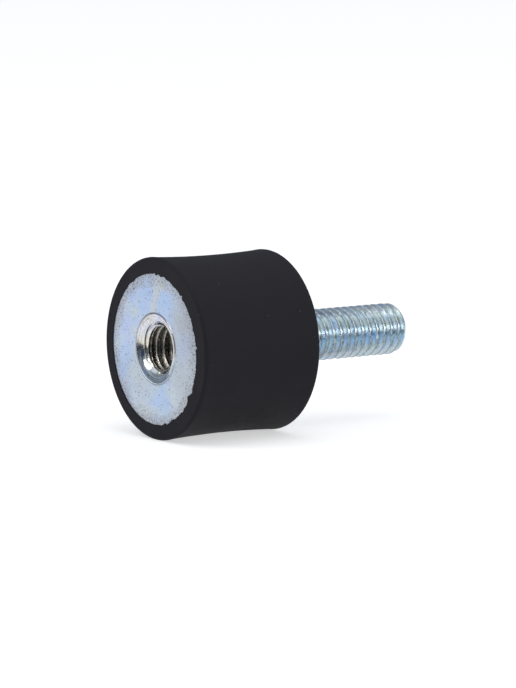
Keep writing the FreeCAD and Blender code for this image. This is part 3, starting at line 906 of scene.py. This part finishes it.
CARD_LIFT = 0.0002
CARD_DARK = (0.025, 0.045, 0.09, 1)
CARD_LIGHT = (0.035, 0.06, 0.11, 1)

# The corners of the dark cards, along X and Y.
END_CARD = [(-0.90, -0.33), (-0.085, -0.053), (-0.068, -0.020), (-0.068, 0.048), (-0.90, 0.80)]
FRONT_CARD = [(0.012, -0.40), (0.40, -0.40), (0.40, -0.02), (0.03, -0.02), (0.012, -0.045)]

SKY_LOW = (0.28, 0.32, 0.38, 1)
SKY_HIGH = (0.68, 0.69, 0.71, 1)
FAR_WALL = (0.26, 0.30, 0.37, 1)
DARK_ROOM = (0.045, 0.07, 0.13, 1)

# Lamps: name, degrees round and up, distance, width, height and radiance.
LAMPS = [
    ("overhead", 0, 80, 1.2, 0.8, 0.8, 1.1),
    ("left", -95, 29.5, 0.0574, 0.0215, 0.033, 3.2),
    ("right", 33, 43, 1.0, 0.6, 0.4, 0.5),
    ("front", 32, 11, 0.8, 0.45, 0.15, 6.6),
]

# The camera, in millimetres and degrees: what it goes round, how far off and where it stands, and its aim.
CAMERA_MIDDLE = (-5, 0, 0)
CAMERA_DISTANCE = 424.7
CAMERA_AZIMUTH = -34.30
CAMERA_ELEVATION = 7.34
CAMERA_AIM = (-2.546, -1.704, -0.193)
CAMERA_SENSOR = 36
CAMERA_LENS = 202.0


def flat_face(name, corners, height):
    """One flat face at a height, from its corners along X and Y."""
    mesh = bpy.data.meshes.new(name)
    mesh.from_pydata([(x, y, height) for x, y in corners], [], [range(len(corners))])
    face = bpy.data.objects.new(name, mesh)
    bpy.context.scene.collection.objects.link(face)
    return face


def studio_floor():
    """A pale floor just under the rubber. It is white where nothing shades it, and keeps a soft shadow."""
    size = FLOOR_SIZE
    corners = [(-size, -size), (size, -size), (size, size), (-size, size)]
    floor = flat_face("studio_floor", corners, FLOOR_HEIGHT)
    material = bpy.data.materials.new("white_floor")
    material.use_nodes = True
    tree = material.node_tree
    tree.nodes.remove(tree.nodes["Principled BSDF"])
    diffuse = add(tree, "BsdfDiffuse", {"Color": (FLOOR_GREY, FLOOR_GREY, FLOOR_GREY, 1)}).outputs[0]
    path = add(tree, "LightPath").outputs
    mirrored = maths(tree, "MAXIMUM", path["Is Glossy Ray"], path["Is Transmission Ray"])
    seen = maths(tree, "MAXIMUM", path["Is Camera Ray"], mirrored)
    glow = add(tree, "Emission", {"Strength": maths(tree, "MULTIPLY", seen, FLOOR_GLOW)}).outputs[0]
    both = add(tree, "AddShader", {0: diffuse, 1: glow}).outputs[0]
    fill(tree, tree.nodes["Material Output"].inputs["Surface"], both)
    floor.data.materials.append(material)


def dark_card(name, corners):
    """A dark blue card just over the floor, which shows in the steel but not to the camera."""
    card = flat_face(name, corners, FLOOR_HEIGHT + CARD_LIFT)
    card.visible_camera = False
    card.visible_diffuse = False
    card.visible_shadow = False
    material = bpy.data.materials.new(name)
    material.use_nodes = True
    tree = material.node_tree
    shader = tree.nodes["Principled BSDF"]
    weave = noise(tree, add(tree, "TexCoord").outputs["Object"], 900, 3, 0.6)
    fill(tree, shader.inputs["Base Color"], mix(tree, weave, CARD_DARK, CARD_LIGHT))
    shader.inputs["Roughness"].default_value = 0.9
    shader.inputs["Specular IOR Level"].default_value = 0.1
    card.data.materials.append(material)


def studio_world():
    """Soft light from all round, brighter overhead and dim by the floor. It is dimmer behind the mount, and
    dark blue low down beyond the tapped end, where the room shows. The camera sees it as white."""
    world = bpy.data.worlds.new("studio_world")
    world.use_nodes = True
    bpy.context.scene.world = world
    tree = world.node_tree
    background = tree.nodes["Background"]
    along, across, up = separated(tree, add(tree, "TexCoord").outputs["Generated"])
    sky = mix(tree, mask_between(tree, up, 0.10, 0.50), SKY_LOW, SKY_HIGH)
    behind = maths(tree, "MULTIPLY", mask_between(tree, across, 0.1, 0.7), mask_between(tree, up, 0.85, 0.6))
    sky = mix(tree, behind, sky, FAR_WALL)
    room = mask_between(tree, along, -0.66, -0.82)
    room = maths(tree, "MULTIPLY", room, mask_between(tree, up, 0.40, 0.27))
    room = maths(tree, "MULTIPLY", room, mask_between(tree, across, 0.36, 0.10))
    sky = mix(tree, room, sky, DARK_ROOM)
    camera_ray = add(tree, "LightPath").outputs["Is Camera Ray"]
    fill(tree, background.inputs["Color"], mix(tree, camera_ray, sky, WHITE))
    background.inputs["Strength"].default_value = 1.0


def direction(azimuth, elevation):
    """A direction from degrees round from -Y towards +X, and degrees up."""
    turn, lift = math.radians(azimuth), math.radians(elevation)
    return Vector((math.sin(turn) * math.cos(lift), -math.cos(turn) * math.cos(lift), math.sin(lift)))


def softbox(name, azimuth, elevation, distance, width, height, radiance):
    """An oval lamp that faces the object. Its power is its radiance times its area times pi."""
    away = direction(azimuth, elevation)
    lamp = bpy.data.lights.new(name, "AREA")
    lamp.shape = "ELLIPSE"
    lamp.size = width
    lamp.size_y = height
    lamp.energy = radiance * width * height * math.pi / 4 * math.pi
    light = bpy.data.objects.new(name, lamp)
    light.location = away * distance
    light.rotation_euler = away.to_track_quat("Z", "Y").to_euler()
    light.visible_camera = False
    bpy.context.scene.collection.objects.link(light)


def photo_camera():
    """The photo's camera: a long lens, nearly level, over a third of the way round from the side to the
    tapped end."""
    middle = Vector(CAMERA_MIDDLE) * MM
    aim = Vector(CAMERA_AIM) * MM
    place = middle + direction(CAMERA_AZIMUTH, CAMERA_ELEVATION) * CAMERA_DISTANCE * MM
    lens = bpy.data.cameras.new("photo_camera")
    lens.sensor_width = CAMERA_SENSOR
    lens.lens = CAMERA_LENS
    lens.clip_start = 0.01
    lens.clip_end = 10
    camera = bpy.data.objects.new("photo_camera", lens)
    camera.location = place
    camera.rotation_euler = (place - aim).to_track_quat("Z", "Y").to_euler()
    bpy.context.scene.collection.objects.link(camera)
    bpy.context.scene.camera = camera


ROUND_THE_AXIS = round_the_axis_group()
SPECKS = specks_group("scattered_specks", "3D")
FLAT_SPECKS = specks_group("flat_specks", "2D")
ZINC = zinc_group(SPECKS)

rubber_piece().data.materials.append(rubber_material())
bush_piece().data.materials.append(bush_material())
stud_piece().data.materials.append(stud_material())
zinc_disc = plate_material()
for node in ("female_plate", "stud_plate"):
    for material_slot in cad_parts[node].material_slots:
        material_slot.material = zinc_disc

studio_floor()
dark_card("end_card", END_CARD)
dark_card("front_card", FRONT_CARD)
studio_world()
for lamp_values in LAMPS:
    softbox(*lamp_values)
photo_camera()
bpy.context.scene.view_settings.view_transform = "Standard"
